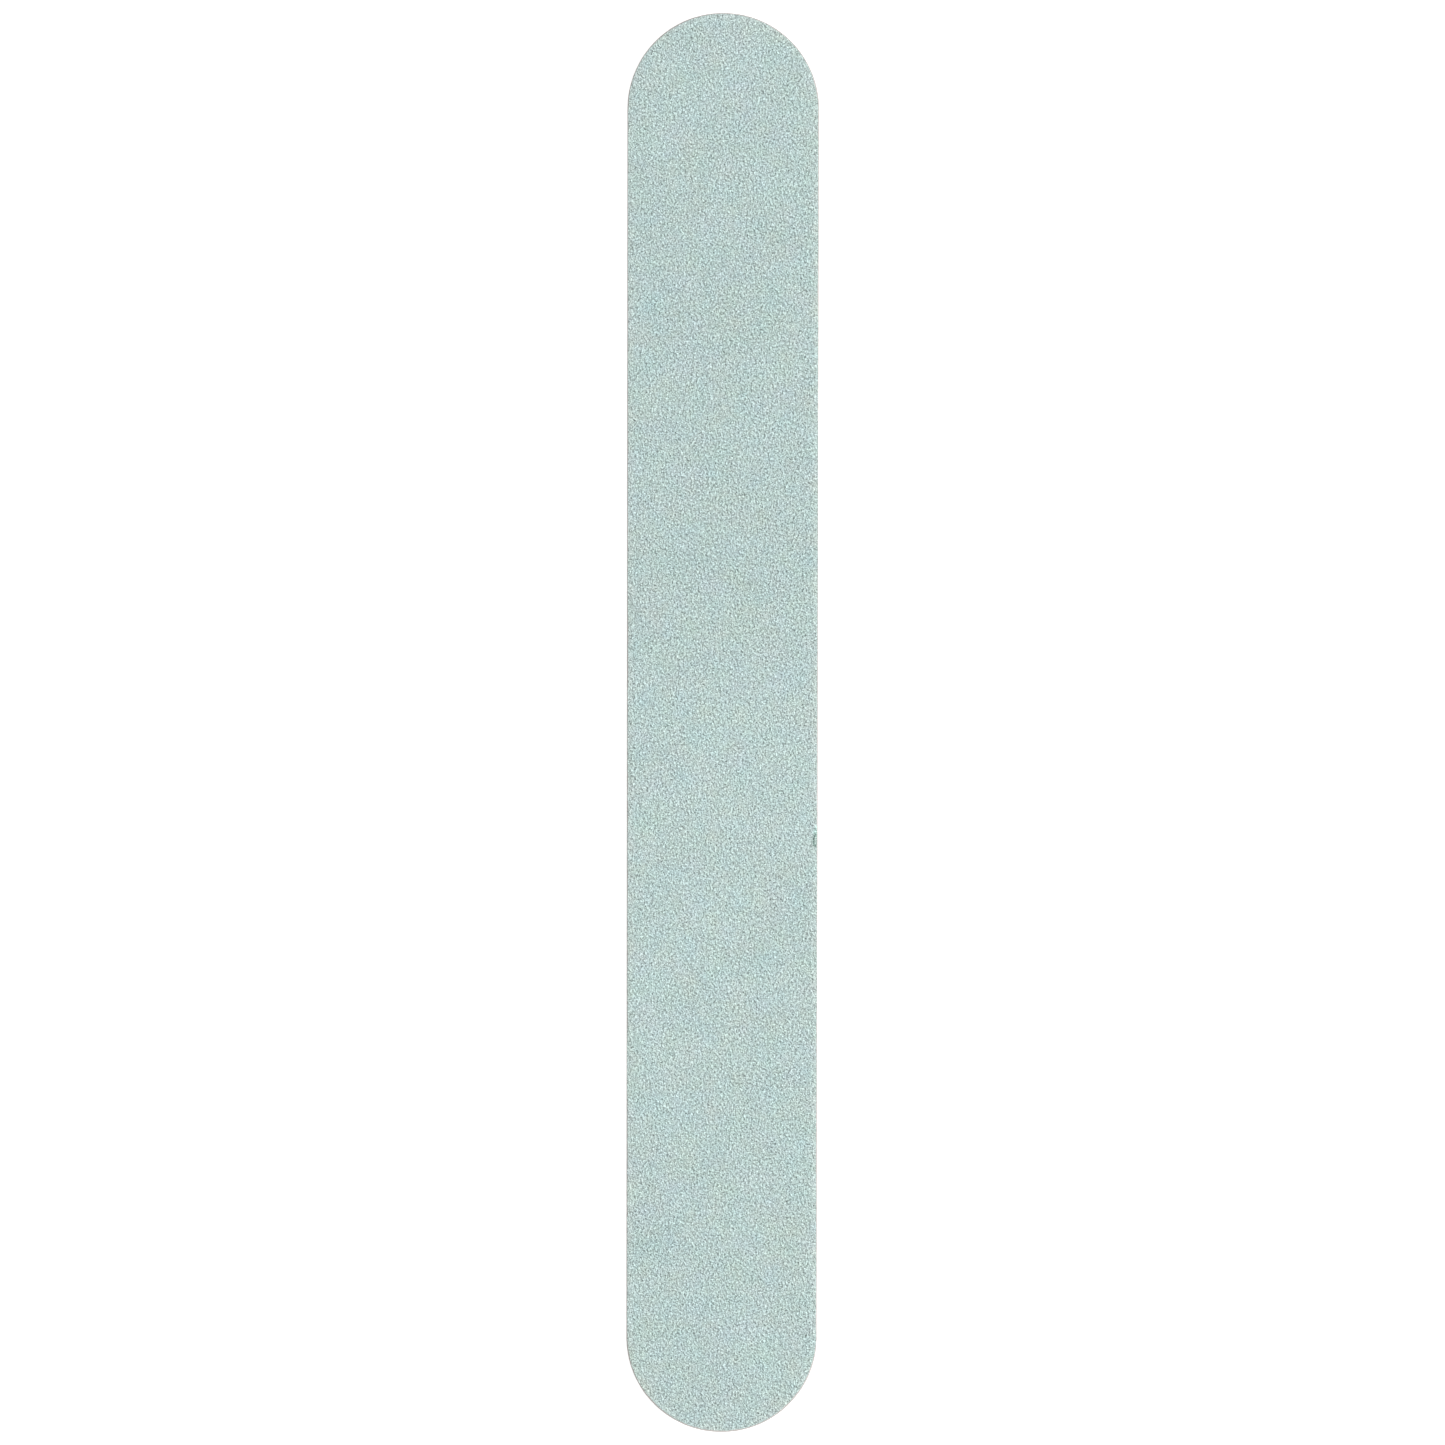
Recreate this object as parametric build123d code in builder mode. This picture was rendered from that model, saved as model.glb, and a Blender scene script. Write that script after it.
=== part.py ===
"""A cushioned sanding stick: eleven layers, die-cut together into one round-ended stick.

The stick lies flat. +X runs across it, +Y along it and +Z through its thickness, and the
origin is the middle of the face it rests on. From the middle plane outwards both halves
are the same: half of the stiff core, a film of adhesive, a foam pad, adhesive, backing
paper and the grit coat. The cutting die presses the outer sheet down into the foam at the
cut edge, so the outer layers turn down there in a low round shoulder.
"""

import os
from math import sqrt

from build123d import *

# Outline
LENGTH = 150.0
WIDTH = 20.2

# Thickness of each layer
GRIT = 0.10
PAPER = 0.20
ADHESIVE = 0.10
FOAM = 1.00
CORE = 1.00

# Shoulder that the cutting die leaves along both outer faces
SHOULDER_WIDTH = 0.6
SHOULDER_DROP = 0.12

# Worked out from the sizes above
THICKNESS = 2 * (GRIT + PAPER + 2 * ADHESIVE + FOAM) + CORE
MIDDLE = Plane.XY.offset(THICKNESS / 2)
END_RADIUS = WIDTH / 2
END_CENTRE_Y = LENGTH / 2 - END_RADIUS
SHOULDER_START_X = END_RADIUS - SHOULDER_WIDTH
SHOULDER_RADIUS = (SHOULDER_WIDTH**2 + SHOULDER_DROP**2) / (2 * SHOULDER_DROP)
SHEET = GRIT + PAPER + ADHESIVE

# Layers of one half of the stick, from its face to its core: name and thickness
HALF_STACK = [
    ("grit_coat", GRIT),
    ("backing_paper", PAPER),
    ("paper_adhesive", ADHESIVE),
    ("foam_pad", FOAM),
    ("core_adhesive", ADHESIVE),
]


def edge_drop(depth):
    """How far a surface this deep under the front face has sunk where it meets the cut edge.

    The surfaces of the outer sheet bend round one centre, so the sheet keeps its thickness.
    Below the sheet, the foam takes up the bend and the surfaces are flat.
    """
    if depth > SHEET:
        return 0.0
    bend = SHOULDER_RADIUS - depth
    return bend - sqrt(bend**2 - SHOULDER_WIDTH**2)


def surface_line(depth):
    """The half section of the surface at this depth, from the middle line to the cut edge.

    It is drawn inside a BuildLine, and its two ends are returned.
    """
    height = THICKNESS - depth
    middle = (0, height)
    edge = (END_RADIUS, height - edge_drop(depth))
    if edge_drop(depth) == 0:
        Line(middle, edge)
    else:
        shoulder = (SHOULDER_START_X, height)
        Line(middle, shoulder)
        TangentArc(shoulder, edge, tangent=(1, 0))
    return middle, edge


def layer(upper_depth, lower_depth):
    """A layer of the stick between two depths under the front face."""
    with BuildPart() as piece:
        with BuildSketch(Plane.XZ.offset(-END_CENTRE_Y)) as half_section:
            with BuildLine():
                upper_middle, upper_edge = surface_line(upper_depth)
                lower_middle, lower_edge = surface_line(lower_depth)
                Line(upper_middle, lower_middle)
                Line(upper_edge, lower_edge)
            make_face()
        revolve(axis=Axis((0, END_CENTRE_Y, 0), (0, 0, 1)), revolution_arc=180)
        with BuildSketch(Plane.XZ.offset(-END_CENTRE_Y)):
            add(half_section.sketch_local)
            mirror(about=Plane.YZ)
        extrude(amount=END_CENTRE_Y)
        mirror(about=Plane.XZ)
    return piece


def write(piece, name):
    piece.part.label = name
    export_step(piece.part, f"parts/{name}.step")


os.makedirs("parts", exist_ok=True)

depth = 0.0
for name, thickness in HALF_STACK:
    front = layer(depth, depth + thickness)
    write(front, f"front_{name}")
    with BuildPart() as back:
        mirror(front.part, about=MIDDLE)
    write(back, f"back_{name}")
    depth += thickness

core = layer(depth, depth + CORE)
write(core, "core_strip")
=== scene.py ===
import math

import bpy
import numpy as np
from mathutils import Euler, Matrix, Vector
from mathutils.geometry import delaunay_2d_cdt


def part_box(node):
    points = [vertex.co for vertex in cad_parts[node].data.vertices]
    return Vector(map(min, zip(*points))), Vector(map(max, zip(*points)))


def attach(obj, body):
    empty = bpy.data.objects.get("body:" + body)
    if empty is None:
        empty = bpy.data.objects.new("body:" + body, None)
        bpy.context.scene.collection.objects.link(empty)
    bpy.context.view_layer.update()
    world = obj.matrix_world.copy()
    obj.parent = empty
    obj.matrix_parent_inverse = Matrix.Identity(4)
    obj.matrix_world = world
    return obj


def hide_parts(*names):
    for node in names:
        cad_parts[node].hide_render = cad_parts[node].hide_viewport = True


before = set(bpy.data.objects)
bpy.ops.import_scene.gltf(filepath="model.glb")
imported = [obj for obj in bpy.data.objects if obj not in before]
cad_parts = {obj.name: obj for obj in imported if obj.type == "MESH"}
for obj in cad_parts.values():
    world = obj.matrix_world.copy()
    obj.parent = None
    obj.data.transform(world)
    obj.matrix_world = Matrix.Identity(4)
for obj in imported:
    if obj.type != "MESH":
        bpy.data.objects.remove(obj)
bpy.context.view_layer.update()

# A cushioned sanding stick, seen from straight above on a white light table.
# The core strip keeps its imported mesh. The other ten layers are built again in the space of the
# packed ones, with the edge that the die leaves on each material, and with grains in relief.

MM = 0.001
ROUNDING = 0.01 * MM  # more than a height in the frame is rounded by, and much less than a layer

# ---------------------------------------------------------------- sizes, from the frame

core_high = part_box("core_strip")[1]
HALF_WIDTH = core_high.x
HALF_LENGTH = core_high.y
END_CENTRE = HALF_LENGTH - HALF_WIDTH
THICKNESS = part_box("front_grit_coat")[1].z


def depth_of_top(node):
    """How deep the flat upper surface of a layer lies under the front face."""
    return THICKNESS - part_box(node)[1].z


PAPER_TOP = depth_of_top("front_backing_paper")
PAPER_FILM_TOP = depth_of_top("front_paper_adhesive")
FOAM_TOP = depth_of_top("front_foam_pad")
CORE_FILM_TOP = depth_of_top("front_core_adhesive")
CORE_TOP = depth_of_top("core_strip")

# The shoulder that the die presses into the outer sheet, as in the CAD
SHOULDER_WIDTH = 0.6 * MM
SHOULDER_DROP = 0.12 * MM
SHOULDER_START = HALF_WIDTH - SHOULDER_WIDTH
SHOULDER_RADIUS = (SHOULDER_WIDTH**2 + SHOULDER_DROP**2) / (2 * SHOULDER_DROP)


def is_flat(depth):
    """The shoulder is in the outer sheet and on top of the foam. All surfaces below it are flat."""
    return depth > FOAM_TOP + ROUNDING


def surface_height(radius, depth):
    """Height of the surface this deep under the front face, this far out from the middle line."""
    height = THICKNESS - depth
    if is_flat(depth):
        return height
    bend = SHOULDER_RADIUS - depth
    past = np.clip(radius - SHOULDER_START, 0.0, SHOULDER_WIDTH)
    return height - (bend - np.sqrt(bend**2 - past**2))


# ---------------------------------------------------------------- mesh helpers


class Outline:
    """Evenly spaced columns round the stick's outline, anticlockwise seen from the front."""

    def __init__(self, step):
        straight = 2 * END_CENTRE
        side = straight + math.pi * HALF_WIDTH
        self.length = 2 * side
        self.count = 2 * round(side / step)
        self.along = np.arange(self.count) * self.length / self.count
        first_half = self.along < side
        on_side = self.along % side
        angle = np.clip(on_side - straight, 0.0, None) / HALF_WIDTH
        centre_y = np.minimum(on_side, straight) - END_CENTRE
        turn = np.where(first_half, 0.0, math.pi)
        self.centre_y = np.where(first_half, centre_y, -centre_y)
        self.out = np.column_stack([np.cos(angle + turn), np.sin(angle + turn)])

    def ring(self, radius, height):
        """Points of a ring round the stick, at this distance from the middle line."""
        points = np.empty((self.count, 3))
        points[:, :2] = self.out * np.reshape(radius, (-1, 1))
        points[:, 1] += self.centre_y
        points[:, 2] = height
        return points

    def wander(self, wavelength, rng):
        """Smooth random values from 0 to 1 round the outline, about one per wavelength."""
        knots = round(self.length / wavelength)
        places = np.arange(knots) * self.length / knots
        return np.interp(self.along, places, rng.random(knots), period=self.length)


def ring_faces(upper, lower, count):
    """Quads between two rings of points, given the number of each ring's first point."""
    here = np.arange(count)
    after = (here + 1) % count
    return np.column_stack([lower + here, lower + after, upper + after, upper + here]).tolist()


def new_piece(name, points, faces, back):
    """A mesh object from points and faces. A back piece is a front one with the stick turned over."""
    if back:
        points = points * (-1, 1, -1) + (0, 0, THICKNESS)
    mesh = bpy.data.meshes.new(name)
    mesh.from_pydata(points.tolist(), [], faces)
    mesh.validate()
    piece = bpy.data.objects.new(name, mesh)
    bpy.context.collection.objects.link(piece)
    return piece


def finish_piece(piece, node, slot):
    """Puts a finished piece in the place of its CAD node, with the material of its slot."""
    piece.data.materials.append(materials[slot])
    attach(piece, "root")
    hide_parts(node)


# ---------------------------------------------------------------- cut layers

CUT_STEP = 0.2 * MM
PAPER_ROWS = 4
FILM_ROWS = 3
SHOULDER_RINGS = 6

FOAM_STEP = 0.07 * MM
FOAM_ROWS = 15
CELL = 0.28 * MM
CELL_PLACES = (0.15, 0.85)  # where a cell's centre lies in its square of the grid of cells
CELL_RADII = (0.35, 0.62)  # in squares of that grid
PIT_DEPTH = 0.20 * MM
PIT_FADE = 0.35  # the power of a sine: low values keep the pits deep up to the foam's skins


def cut_layer(name, outline, upper_depth, lower_depth, recess, back):
    """A layer under the grit. recess holds, for rows from its upper to its lower edge, how far the
    cut edge stands back from the stick's outline."""
    share = np.linspace(0.0, 1.0, SHOULDER_RINGS, endpoint=False)
    shoulder = SHOULDER_START + share * SHOULDER_WIDTH - recess.max()

    def shoulder_rings(depth):
        """Rings that carry a surface over the shoulder, from inside out. A flat surface needs none."""
        return [outline.ring(r, surface_height(r, depth)) for r in shoulder if not is_flat(depth)]

    top = surface_height(HALF_WIDTH - recess[0], upper_depth)
    bottom = surface_height(HALF_WIDTH - recess[-1], lower_depth)
    rings = shoulder_rings(upper_depth)
    for row, down in enumerate(np.linspace(0.0, 1.0, len(recess))):
        rings.append(outline.ring(HALF_WIDTH - recess[row], top + down * (bottom - top)))
    rings += shoulder_rings(lower_depth)[::-1]
    faces = []
    for upper in range(len(rings) - 1):
        faces += ring_faces(upper * outline.count, (upper + 1) * outline.count, outline.count)
    last = (len(rings) - 1) * outline.count
    faces.append(list(range(outline.count)))
    faces.append(list(range(last + outline.count - 1, last - 1, -1)))
    return new_piece(name, np.vstack(rings), faces, back)


def edge_recess(outline, rows, rng, bow=0.0, base=0.0, roughness=0.0, grain=0.3 * MM):
    """How far a cut edge stands back: a bow between its two skins, and a roughness along it."""
    share = np.linspace(-1.0, 1.0, rows)[:, None]
    rough = np.array([outline.wander(grain, rng) for _ in range(rows)])
    return base + bow * (1 - share**2) + roughness * rough


def film_recess(outline, rng):
    """An adhesive film's cut edge, which stands back a little from the outline."""
    return edge_recess(outline, FILM_ROWS, rng, base=0.03 * MM, roughness=0.03 * MM, grain=0.8 * MM)


def foam_recess(outline, height, rng):
    """The foam's cut edge: bowed in between its skins, and pitted with the cells the die cut open."""
    bow = edge_recess(outline, FOAM_ROWS, rng, bow=0.10 * MM, base=0.04 * MM,
                      roughness=0.015 * MM, grain=0.5 * MM)
    cells_along = round(outline.length / CELL)
    cells_up = round(height / CELL) + 2
    shape = (cells_up, cells_along)
    centre_along = np.arange(cells_along) + rng.uniform(*CELL_PLACES, shape)
    centre_up = np.arange(cells_up)[:, None] - 1 + rng.uniform(*CELL_PLACES, shape)
    size = rng.uniform(*CELL_RADII, shape)
    along = outline.along / outline.length * cells_along
    up = np.linspace(0.0, height / CELL, FOAM_ROWS)[:, None]
    column = np.floor(along).astype(int)
    row = np.floor(up).astype(int) + 1
    pit = np.zeros((FOAM_ROWS, outline.count))
    for step_up in (-1, 0, 1):
        for step_along in (-1, 0, 1):
            i = np.clip(row + step_up, 0, cells_up - 1)
            j = (column + step_along) % cells_along
            gap = (along - centre_along[i, j] + cells_along / 2) % cells_along - cells_along / 2
            reach = np.hypot(gap, up - centre_up[i, j]) / size[i, j]
            pit = np.maximum(pit, np.clip(1 - reach**2, 0, None) * size[i, j])
    pit *= np.sin(np.linspace(0.0, math.pi, FOAM_ROWS))[:, None] ** PIT_FADE
    return bow + PIT_DEPTH * pit


# ---------------------------------------------------------------- grit coats

GRAIN = 0.2 * MM
GRAIN_STRAY = 0.32  # how far a grain lies from its place on the honeycomb, in grains
GRAIN_GAP = 0.6 * GRAIN  # the least from the innermost point of the coat's edge to a grain
RELIEF = 0.022 * MM
RELIEF_LIMIT = 2.2
DEEPEST = 0.97 * PAPER_TOP  # no pit goes right through the coat
COAT_RINGS = 4

# The coat's edge stands back, and more where grains were lost to the die and round the ends
RIM_STEP = 0.16 * MM
EDGE_RECESS = 0.08 * MM
EDGE_LOSS = 0.10 * MM
LOSS_LENGTHS = (0.25 * MM, 3 * MM)  # of one lost grain, and of a stretch that lost more or fewer
END_WEAR = 0.06 * MM
COAT_SHIFT = (-0.008 * MM, 0.020 * MM)

# The relief grows from the rim inwards, over this band and from these shares of it
EDGE_BAND = 0.45 * MM
RIM_RELIEF = 0.1
BAND_RELIEF = 0.25

# A nick in the front coat's right edge: a curved crack that frees a small flake
NICK_CENTRE = (HALF_WIDTH + 1.07 * MM, -12.15 * MM)
NICK_RADIUS = 1.54 * MM
NICK_ENDS = (math.radians(137), math.radians(207))
NICK_FADES = (0.25, 0.10)  # the angles, in radians, over which the crack starts and ends
NICK_DEPTH = 0.04 * MM
NICK_WIDTH = 0.24 * MM
NICK_BOTTOM = 0.2  # half the width of its flat bottom, in widths of the crack
NICK_STEP = 0.07 * MM
NICK_GAP = 0.3 * GRAIN
# Painted shade: the crack's tone is painted this much darker, in units of a grain's height above its
# neighbours, and the flake's this much
CRACK_SHADE = 3.0
FLAKE_SHADE = 0.6
FLAKE_CALM = 0.7
FLAKE_BARE = 0.5

# The spot above the nick where the die rubbed grains off
RUB_CENTRE = (HALF_WIDTH - 0.18 * MM, -11.15 * MM)
RUB_RADII = (0.36 * MM, 0.75 * MM)

# What the triangulation takes: keep the triangles inside the rim, and join points this close
KEEP_INSIDE = 1
SAME_POINT = 1e-6  # in mm


def grit_points(edge, rng):
    """One point per grain: rows as on a honeycomb, each grain a little out of place."""
    rows = np.arange(-HALF_LENGTH, HALF_LENGTH, GRAIN * math.sqrt(3) / 2)
    columns = np.arange(-HALF_WIDTH, HALF_WIDTH, GRAIN)
    x, y = np.meshgrid(columns, rows)
    x[1::2] += GRAIN / 2
    points = np.column_stack([x.ravel(), y.ravel()])
    points += rng.uniform(-GRAIN_STRAY, GRAIN_STRAY, points.shape) * GRAIN
    return points[middle_distance(points) < HALF_WIDTH - edge.max() - GRAIN_GAP]


def nick_at(points):
    """How much each point lies in the nick's crack, and in the flake that it frees: from 0 to 1."""
    across, up = (points - NICK_CENTRE).T
    inside = NICK_RADIUS - np.hypot(across, up)
    angle = np.arctan2(up, across) % (2 * math.pi)
    past_start = np.clip((angle - NICK_ENDS[0]) / NICK_FADES[0], 0, 1)
    before_end = np.clip((NICK_ENDS[1] - angle) / NICK_FADES[1], 0, 1)
    between_ends = past_start * before_end
    crack = np.clip((0.5 - np.abs(inside) / NICK_WIDTH) / (0.5 - NICK_BOTTOM), 0, 1) * between_ends
    return crack, np.clip(inside / NICK_WIDTH, 0, 1) * between_ends


def rubbed_at(points):
    """How much each point lies in the rubbed spot, which fades over its outer half."""
    away = np.hypot(*((points - RUB_CENTRE) / RUB_RADII).T)
    return np.clip(2 - 2 * away, 0, 1)


def with_nick(points, limit):
    """The grains clear of the crack, and rows of points along its bottom and both its lips."""
    angle = np.arange(*NICK_ENDS, NICK_STEP / NICK_RADIUS)
    away = np.hypot(*(points - NICK_CENTRE).T) - NICK_RADIUS
    rows = [points[np.abs(away) > NICK_WIDTH]]
    for lip in (-0.5, -NICK_BOTTOM, NICK_BOTTOM, 0.5):
        radius = NICK_RADIUS + lip * NICK_WIDTH
        rows.append(np.column_stack([NICK_CENTRE[0] + radius * np.cos(angle),
                                     NICK_CENTRE[1] + radius * np.sin(angle)]))
    points = np.vstack(rows)
    return points[middle_distance(points) < limit]


def middle_distance(points):
    """How far each point lies from the stick's middle line, which ends at the ends' centres."""
    return np.hypot(points[:, 0], np.clip(np.abs(points[:, 1]) - END_CENTRE, 0, None))


def proud_grains(faces, count, rng):
    """How far each grain stands above its neighbours: values spread about 0, of which 1 is typical. The
    grit's colour uses them as painted light on the tops and painted shade in the gaps.
    """
    value = rng.random(count)
    around = np.zeros(count)
    neighbours = np.zeros(count)
    corners = np.array(faces)
    for a, b in ((0, 1), (1, 2), (2, 0)):
        for near, far in ((a, b), (b, a)):
            np.add.at(around, corners[:, near], value[corners[:, far]])
            np.add.at(neighbours, corners[:, near], 1)
    proud_and_shade = value - around / neighbours
    return np.clip(proud_and_shade / proud_and_shade.std(), -RELIEF_LIMIT, RELIEF_LIMIT)


def grit_coat(side, seed):
    """A coat of grains in relief. Its edge has lost grains here and there to the die."""
    rng = np.random.default_rng(seed)
    outline = Outline(RIM_STEP)
    loss = outline.wander(LOSS_LENGTHS[0], rng) * outline.wander(LOSS_LENGTHS[1], rng)
    edge = EDGE_RECESS + EDGE_LOSS * loss
    edge += END_WEAR * np.abs(outline.out[:, 1]) - outline.out @ COAT_SHIFT
    grains = grit_points(edge, rng)
    if side == "front":
        grains = with_nick(grains, HALF_WIDTH - edge.max() - NICK_GAP)
    points = np.vstack([outline.ring(HALF_WIDTH - edge, 0)[:, :2], grains])
    rim = list(range(outline.count))
    found = delaunay_2d_cdt((points / MM).tolist(), [], [rim], KEEP_INSIDE, SAME_POINT)
    flat = np.array([tuple(p) for p in found[0]]) * MM
    assert len(flat) == len(points), "the triangulation joined points, so the rim is out of order"
    radius = middle_distance(flat)
    calm = np.clip((HALF_WIDTH - radius) / EDGE_BAND, BAND_RELIEF, 1.0)
    calm[: outline.count] = RIM_RELIEF
    proud_and_shade = proud_grains(found[2], len(flat), rng) * calm
    sunk = RELIEF * (RELIEF_LIMIT * calm - proud_and_shade)
    bare = 0.0
    if side == "front":
        crack, flake = nick_at(flat)
        sunk += NICK_DEPTH * crack
        rubbed = rubbed_at(flat)
        proud_and_shade = proud_and_shade * (1 - FLAKE_CALM * flake) - CRACK_SHADE * crack - FLAKE_SHADE * flake
        proud_and_shade += rubbed * (1 - crack)
        bare = np.clip(crack + FLAKE_BARE * flake + rubbed, 0, 1)
    sunk = np.minimum(sunk, DEEPEST)
    top = np.column_stack([flat, surface_height(radius, 0.0) - sunk])
    share = np.linspace(0.0, 1.0, COAT_RINGS, endpoint=False)[::-1]
    shoulder = SHOULDER_START + share * SHOULDER_WIDTH - edge.max()
    lower = [outline.ring(r, surface_height(r, PAPER_TOP)) for r in [HALF_WIDTH - edge, *shoulder]]
    faces = [list(face) for face in found[2]]
    first = 0
    for ring in range(len(lower)):
        after = len(top) + ring * outline.count
        faces += ring_faces(first, after, outline.count)
        first = after
    faces.append(list(range(first + outline.count - 1, first - 1, -1)))
    piece = new_piece(f"{side}_grit_grains", np.vstack([top] + lower), faces, side == "back")
    for name, values in (("proud_and_shade", proud_and_shade), ("bare", bare)):
        at_points = np.zeros(len(piece.data.vertices))
        at_points[: len(top)] = values
        piece.data.attributes.new(name, "FLOAT", "POINT").data.foreach_set("value", at_points)
    return piece


# ---------------------------------------------------------------- materials

SEED_STEP = (31.7, 17.3, 11.1)  # between the parts of the noise that two seeds show
NOISE_RANGE = (0.28, 0.72)  # where nearly all of a smooth noise's values lie
WHITE = (1, 1, 1)


class Nodes:
    """A material's node tree, with short calls for the nodes used here. Lengths are in mm."""

    def __init__(self, name):
        self.material = bpy.data.materials.new(name)
        self.material.use_nodes = True
        self.tree = self.material.node_tree
        self.shader = self.tree.nodes["Principled BSDF"]
        place = self.tree.nodes.new("ShaderNodeTexCoord")
        self.place = self.vector("SCALE", place.outputs["Object"], scale=1 / MM)

    def link(self, value, socket):
        if isinstance(value, bpy.types.NodeSocket):
            self.tree.links.new(value, socket)
        else:
            socket.default_value = value

    def vector(self, operation, a, b=(1, 1, 1), scale=1.0):
        node = self.tree.nodes.new("ShaderNodeVectorMath")
        node.operation = operation
        self.link(a, node.inputs[0])
        if operation == "SCALE":
            self.link(scale, node.inputs["Scale"])
        else:
            self.link(b, node.inputs[1])
        return node.outputs["Vector"]

    def math(self, operation, *values):
        node = self.tree.nodes.new("ShaderNodeMath")
        node.operation = operation
        for value, socket in zip(values, node.inputs):
            self.link(value, socket)
        return node.outputs["Value"]

    def weighted(self, *parts):
        """The sum of values, each times its weight."""
        total = 0.0
        for value, weight in parts:
            total = self.math("MULTIPLY_ADD", value, weight, total)
        return total

    def noise(self, size, detail=1.0, roughness=0.5, stretch=(1, 1, 1), seed=0.0):
        """Smooth noise from 0 to 1, with features about this many mm across."""
        node = self.tree.nodes.new("ShaderNodeTexNoise")
        shifted = self.vector("ADD", self.place, [seed * step for step in SEED_STEP])
        self.link(self.vector("MULTIPLY", shifted, stretch), node.inputs["Vector"])
        node.inputs["Scale"].default_value = 1 / size
        node.inputs["Detail"].default_value = detail
        node.inputs["Roughness"].default_value = roughness
        return node.outputs["Fac"]

    def attribute(self, name):
        """A value that the mesh holds at each of its points."""
        node = self.tree.nodes.new("ShaderNodeAttribute")
        node.attribute_name = name
        return node.outputs["Fac"]

    def cells(self, size, step=(0, 0, 0)):
        """A random value from 0 to 1 in each cell of a pattern with cells about this many mm across."""
        node = self.tree.nodes.new("ShaderNodeTexVoronoi")
        self.link(self.vector("ADD", self.place, step), node.inputs["Vector"])
        node.inputs["Scale"].default_value = 1 / size
        return node.outputs["Color"]

    def lit_and_shaded_flecks(self, size, step):
        """Random cells less the same cells a step away: painted light spots with painted shade beside
        them, as on grains lit from one side.
        """
        return self.math("SUBTRACT", self.cells(size), self.cells(size, step))

    def spread(self, value, low, high):
        """Maps low..high to 0..1."""
        node = self.tree.nodes.new("ShaderNodeMapRange")
        self.link(value, node.inputs["Value"])
        node.inputs["From Min"].default_value = low
        node.inputs["From Max"].default_value = high
        return node.outputs["Result"]

    def mix(self, share, a, b, blend="MIX"):
        node = self.tree.nodes.new("ShaderNodeMix")
        node.data_type = "RGBA"
        node.blend_type = blend
        self.link(share, node.inputs["Factor"])
        self.link(a, node.inputs["A"])
        self.link(b, node.inputs["B"])
        return node.outputs["Result"]

    def tinted(self, colour, share, first, last):
        """A colour times a tint, which goes from first to last as share goes from 0 to 1."""
        return self.mix(1.0, colour, self.mix(share, (*first, 1), (*last, 1)), "MULTIPLY")

    def bump(self, height, depth):
        """Relief of this many mm from black to white."""
        node = self.tree.nodes.new("ShaderNodeBump")
        node.inputs["Strength"].default_value = 1.0
        node.inputs["Distance"].default_value = depth * MM
        self.link(height, node.inputs["Height"])
        self.tree.links.new(node.outputs["Normal"], self.shader.inputs["Normal"])

    def edge_distance(self):
        """How far inside the stick's outline a point lies, in mm."""
        split = self.tree.nodes.new("ShaderNodeSeparateXYZ")
        self.link(self.place, split.inputs["Vector"])
        past_end = self.math("SUBTRACT", self.math("ABSOLUTE", split.outputs["Y"]), END_CENTRE / MM)
        past_end = self.math("MAXIMUM", past_end, 0.0)
        squares = self.math("ADD", self.math("POWER", self.math("ABSOLUTE", split.outputs["X"]), 2.0),
                            self.math("POWER", past_end, 2.0))
        return self.math("SUBTRACT", HALF_WIDTH / MM, self.math("SQRT", squares))

    def finish(self, colour, relief, depth, roughness):
        """Joins the colour and a relief of this many mm to the shader, and gives the material."""
        self.link(colour, self.shader.inputs["Base Color"])
        self.bump(relief, depth)
        self.shader.inputs["Roughness"].default_value = roughness
        return self.material


def linear(red, green, blue):
    """A linear colour, from sRGB values of 0 to 255."""
    values = [c / 255 for c in (red, green, blue)]
    return [c / 12.92 if c <= 0.04045 else ((c + 0.055) / 1.055) ** 2.4 for c in values] + [1.0]


def grit_material():
    """Pale sage-green grains in a matt binder, with a slow drift of tint. Painted light and shade: the
    tops of grains are painted lighter and the gaps between them darker, and the flecks paint a lit side
    beside a shaded one.
    """
    nodes = Nodes("grit")
    proud_and_shade = nodes.attribute("proud_and_shade")
    grains = nodes.cells(0.10)
    # Painted light and shade: lit spots with shaded ones beside them, as if each grain were lit from
    # one side
    lit_and_shaded_flecks = nodes.lit_and_shaded_flecks(0.09, (0.06, 0.10, 0))
    slow_drift = nodes.spread(nodes.noise(30.0, detail=1.0, seed=9), *NOISE_RANGE)
    drift = nodes.spread(nodes.noise(5.0, detail=2.0, seed=9), *NOISE_RANGE)
    level = 0.733
    # Painted light and shade: the grains' height above their neighbours paints their tops lighter and
    # the gaps between them darker
    tone = nodes.weighted((proud_and_shade, 0.19), (grains, 0.50), (drift, 0.04), (slow_drift, 0.035),
                          (lit_and_shaded_flecks, 0.80), (1.0, level))
    colour = nodes.mix(1.0, linear(167.9, 186.4, 183.7), tone, "MULTIPLY")
    yellow_to_blue = nodes.spread(nodes.noise(2.4, detail=3.5, roughness=0.65, seed=3), *NOISE_RANGE)
    colour = nodes.tinted(colour, yellow_to_blue, (1.020, 1.002, 0.955), (0.980, 0.998, 1.045))
    green_to_pink = nodes.spread(nodes.noise(3.0, detail=3.5, roughness=0.7, seed=5), *NOISE_RANGE)
    colour = nodes.tinted(colour, green_to_pink, (0.957, 1.009, 0.995), (1.043, 0.991, 1.005))
    # Painted light: towards the rim, over the turned-down shoulder, the coat is painted lighter and a
    # little warmer
    rim_light_share = nodes.spread(nodes.edge_distance(), 0.9, 0.35)
    colour = nodes.tinted(colour, rim_light_share, WHITE, (1.055, 1.025, 1.015))
    colour = nodes.tinted(colour, nodes.attribute("bare"), WHITE, (0.87, 1.05, 0.985))
    return nodes.finish(colour, nodes.noise(0.17, detail=0.0, seed=7), 0.18, roughness=0.62)


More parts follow.
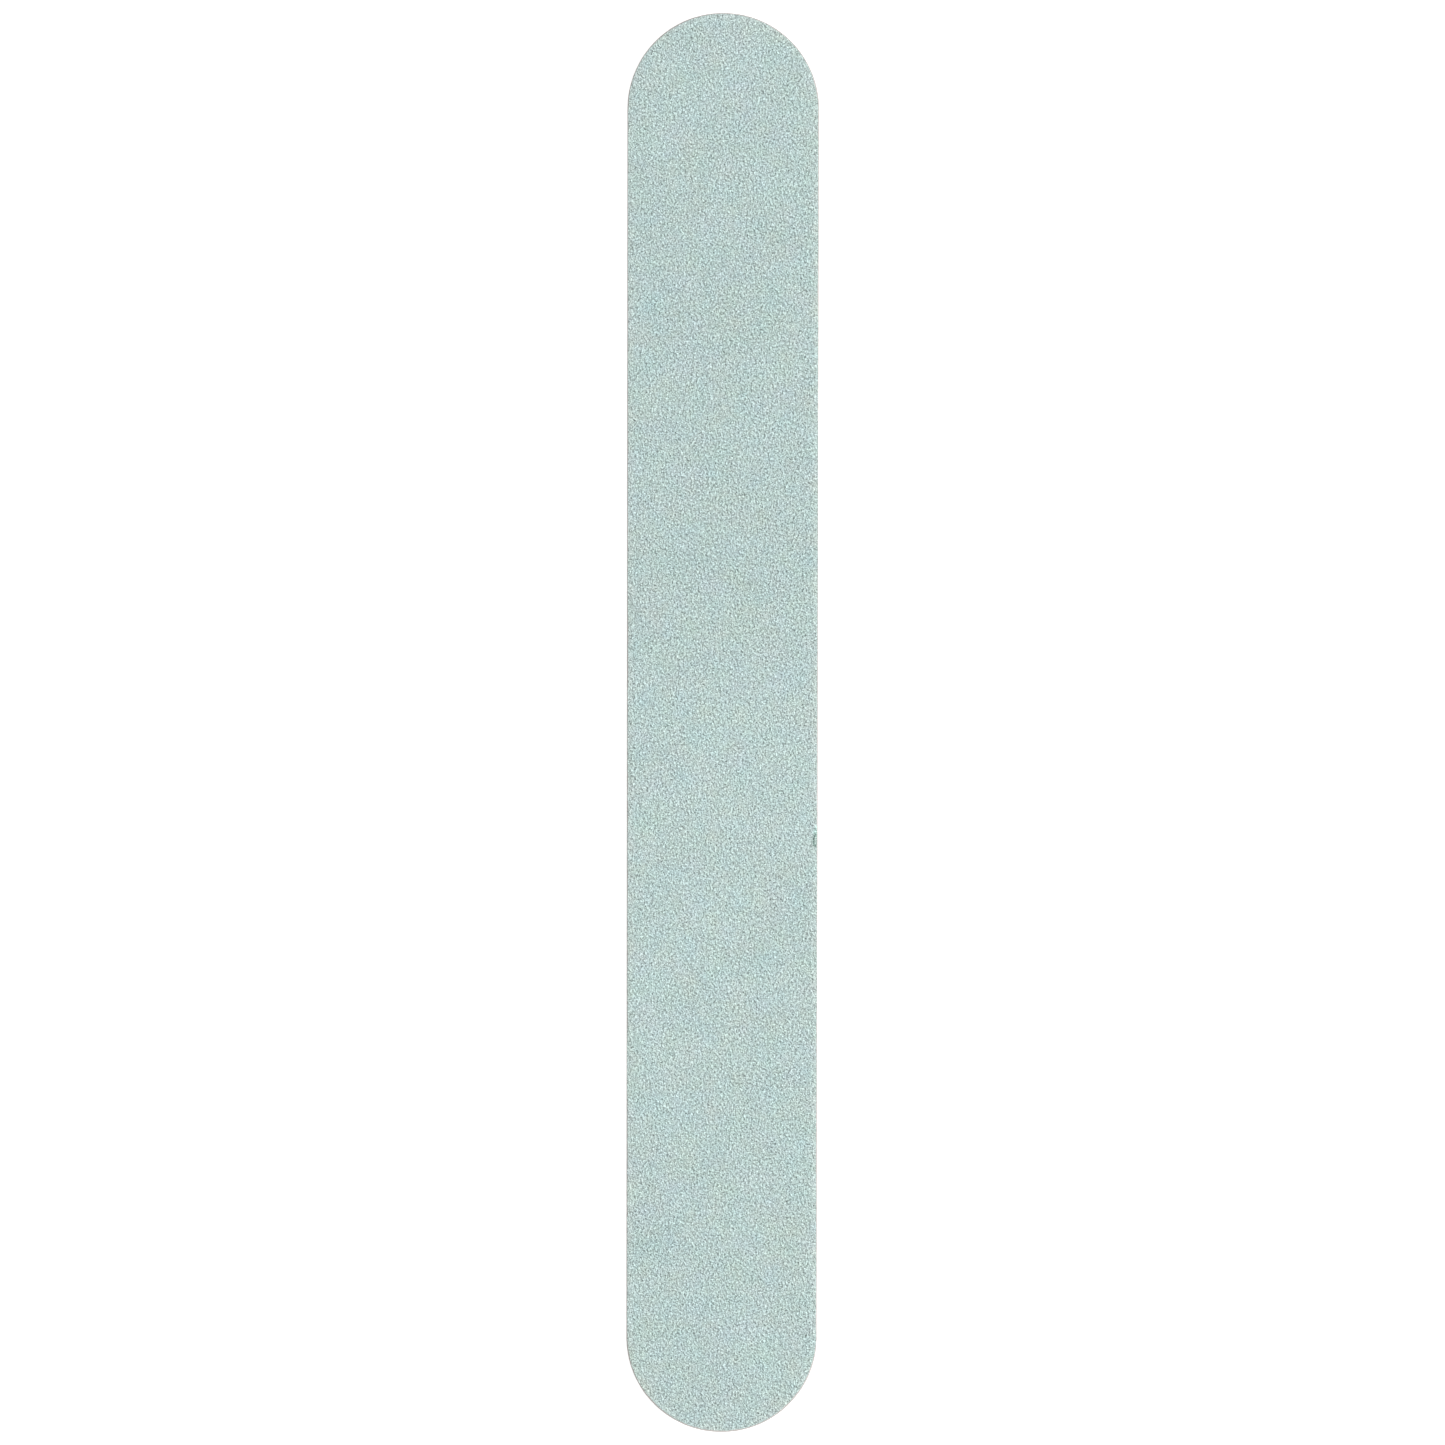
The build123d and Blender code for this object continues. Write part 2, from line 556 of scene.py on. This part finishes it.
def paper_material():
    """Warm pinkish backing paper, seen where it is cut: short fibres lying in the sheet."""
    nodes = Nodes("backing_paper")
    fibres = nodes.noise(0.18, detail=3.0, roughness=0.65, stretch=(1, 1, 6))
    colour = nodes.mix(fibres, linear(156, 151, 149), linear(200, 194, 191))
    return nodes.finish(colour, fibres, 0.02, roughness=0.85)


def adhesive_material():
    """Milky adhesive, seen as a thin line with a slight gloss."""
    nodes = Nodes("adhesive")
    cloud = nodes.noise(0.5, detail=2.0)
    colour = nodes.mix(cloud, linear(158, 152, 136), linear(184, 179, 164))
    return nodes.finish(colour, nodes.noise(0.2, detail=1.0, seed=2), 0.01, roughness=0.38)


def foam_material():
    """Light grey foam. Painted shade: its cut edge is painted darker the further it lies inside the
    outline, so the cells behind the walls look shaded and the walls look lit.
    """
    nodes = Nodes("foam")
    # Painted shade: darker with depth into the pits of the cut edge
    inside = nodes.spread(nodes.edge_distance(), 0.06, 0.30)
    colour = nodes.mix(inside, linear(184, 184, 180), linear(124, 123, 118))
    mottle = nodes.spread(nodes.noise(0.6, detail=3.0), 0.3, 0.7)
    colour = nodes.tinted(colour, mottle, WHITE, (0.89, 0.87, 0.82))
    return nodes.finish(colour, nodes.noise(0.07, detail=2.0), 0.01, roughness=0.8)


def core_material():
    """White polystyrene, satin, with the upright marks that the die leaves on its cut edge."""
    nodes = Nodes("core")
    marks = nodes.noise(0.10, detail=3.0, roughness=0.7, stretch=(1, 1, 0.03))
    colour = nodes.mix(marks, linear(164, 166, 166), linear(194, 195, 194))
    return nodes.finish(colour, marks, 0.012, roughness=0.42)


# ---------------------------------------------------------------- the stick

materials = {
    "abrasive": grit_material(),
    "backing_paper": paper_material(),
    "adhesive": adhesive_material(),
    "foam": foam_material(),
    "core": core_material(),
}

CUT_SEED = 100

for seed, side in enumerate(("front", "back")):
    is_back = side == "back"
    grit = grit_coat(side, seed)
    finish_piece(grit, f"{side}_grit_coat", "abrasive")

    rng = np.random.default_rng(CUT_SEED + seed)
    fine = Outline(CUT_STEP)
    recess = edge_recess(fine, PAPER_ROWS, rng, roughness=0.016 * MM)
    paper = cut_layer(f"{side}_paper_sheet", fine, PAPER_TOP, PAPER_FILM_TOP, recess, is_back)
    finish_piece(paper, f"{side}_backing_paper", "backing_paper")

    recess = film_recess(fine, rng)
    film = cut_layer(f"{side}_paper_film", fine, PAPER_FILM_TOP, FOAM_TOP, recess, is_back)
    finish_piece(film, f"{side}_paper_adhesive", "adhesive")

    cellular = Outline(FOAM_STEP)
    recess = foam_recess(cellular, CORE_FILM_TOP - FOAM_TOP, rng)
    foam = cut_layer(f"{side}_foam", cellular, FOAM_TOP, CORE_FILM_TOP, recess, is_back)
    foam.data.shade_smooth()
    finish_piece(foam, f"{side}_foam_pad", "foam")

    recess = film_recess(fine, rng)
    film = cut_layer(f"{side}_core_film", fine, CORE_FILM_TOP, CORE_TOP, recess, is_back)
    finish_piece(film, f"{side}_core_adhesive", "adhesive")

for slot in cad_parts["core_strip"].material_slots:
    slot.material = materials["core"]

# ---------------------------------------------------------------- light table, lights, camera

TABLE_SIZE = 6.0
TABLE_GLOW = 0.5
KEY_PLACE = (0.9, -0.1, 0.9)
KEY_SIZE = 0.5
KEY_POWER = 14.0
SKY_GLOW = 0.75

LENGTH = 2 * HALF_LENGTH
DISTANCE = 3 * LENGTH
TILT = math.radians(1.40)
ROLL = math.radians(0.081)
HEIGHT_SHARE = 0.9832  # the stick's length as a share of the picture's height
AIM = Vector((-0.002 * MM, 0.310 * MM, THICKNESS))
SENSOR = 36.0
CLIP_START = 0.01


def light_table():
    """A white floor that gives a little light of its own, so shadows on it stay faint."""
    bpy.ops.mesh.primitive_plane_add(size=TABLE_SIZE)
    floor = bpy.context.object
    floor.name = "light_table"
    material = bpy.data.materials.new("light_table")
    material.use_nodes = True
    shader = material.node_tree.nodes["Principled BSDF"]
    shader.inputs["Base Color"].default_value = (0.92, 0.92, 0.92, 1)
    shader.inputs["Roughness"].default_value = 0.9
    shader.inputs["Specular IOR Level"].default_value = 0.0
    shader.inputs["Emission Color"].default_value = (1, 1, 1, 1)
    shader.inputs["Emission Strength"].default_value = TABLE_GLOW
    floor.data.materials.append(material)


def soft_box(name, place, size, power):
    """A square soft light that faces the middle of the stick."""
    light = bpy.data.lights.new(name, "AREA")
    light.size = size
    light.energy = power
    lamp = bpy.data.objects.new(name, light)
    lamp.location = place
    lamp.rotation_euler = (-lamp.location).to_track_quat("-Z", "Y").to_euler()
    bpy.context.collection.objects.link(lamp)


def camera():
    """Straight above, tipped so that the far end of the stick is a little nearer the lens."""
    data = bpy.data.cameras.new("camera")
    data.sensor_width = SENSOR
    data.lens = SENSOR * DISTANCE / (LENGTH / HEIGHT_SHARE)
    data.clip_start = CLIP_START
    eye = bpy.data.objects.new("camera", data)
    eye.rotation_euler = Euler((-TILT, 0, ROLL))
    eye.location = AIM + eye.rotation_euler.to_matrix() @ Vector((0, 0, DISTANCE))
    bpy.context.collection.objects.link(eye)
    bpy.context.scene.camera = eye


def sky():
    """Even white light from all round."""
    world = bpy.data.worlds.new("studio")
    world.use_nodes = True
    background = world.node_tree.nodes["Background"]
    background.inputs["Color"].default_value = (1, 1, 1, 1)
    background.inputs["Strength"].default_value = SKY_GLOW
    bpy.context.scene.world = world


light_table()
soft_box("key", KEY_PLACE, KEY_SIZE, KEY_POWER)
sky()
camera()
bpy.context.scene.view_settings.view_transform = "Standard"
